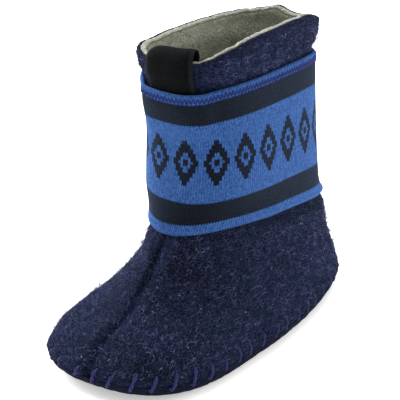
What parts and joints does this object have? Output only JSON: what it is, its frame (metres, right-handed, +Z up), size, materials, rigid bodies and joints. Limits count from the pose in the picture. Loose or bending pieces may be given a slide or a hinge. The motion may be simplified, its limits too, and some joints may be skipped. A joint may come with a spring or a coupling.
{
  "type": "felt baby bootie",
  "caption": "Soft ankle-high felt bootie with a turned-up felt sole, a wide striped knitted elastic around the shaft and a webbing pull loop at the front of the collar.",
  "frame": {"origin": "on the floor under the middle of the boot's outline", "axes": "-Y to the toe, +Y to the heel, +Z up to the collar, +X to the outer side of a left foot"},
  "size_m": [0.066, 0.1352, 0.1154],
  "materials": {
    "sole_felt": "matte dark wool felt",
    "insole_felt": "matte grey-beige wool felt",
    "upper_felt": "fuzzy navy melange wool felt",
    "knitted_elastic": "ribbed knitted elastic with dark stripes",
    "webbing": "matte black woven tape"
  },
  "bodies": {
    "root": {"sole": "sole_felt", "insole": "insole_felt", "upper": "upper_felt", "elastic_band": "knitted_elastic", "pull_loop": "webbing"}
  },
  "joints": []
}
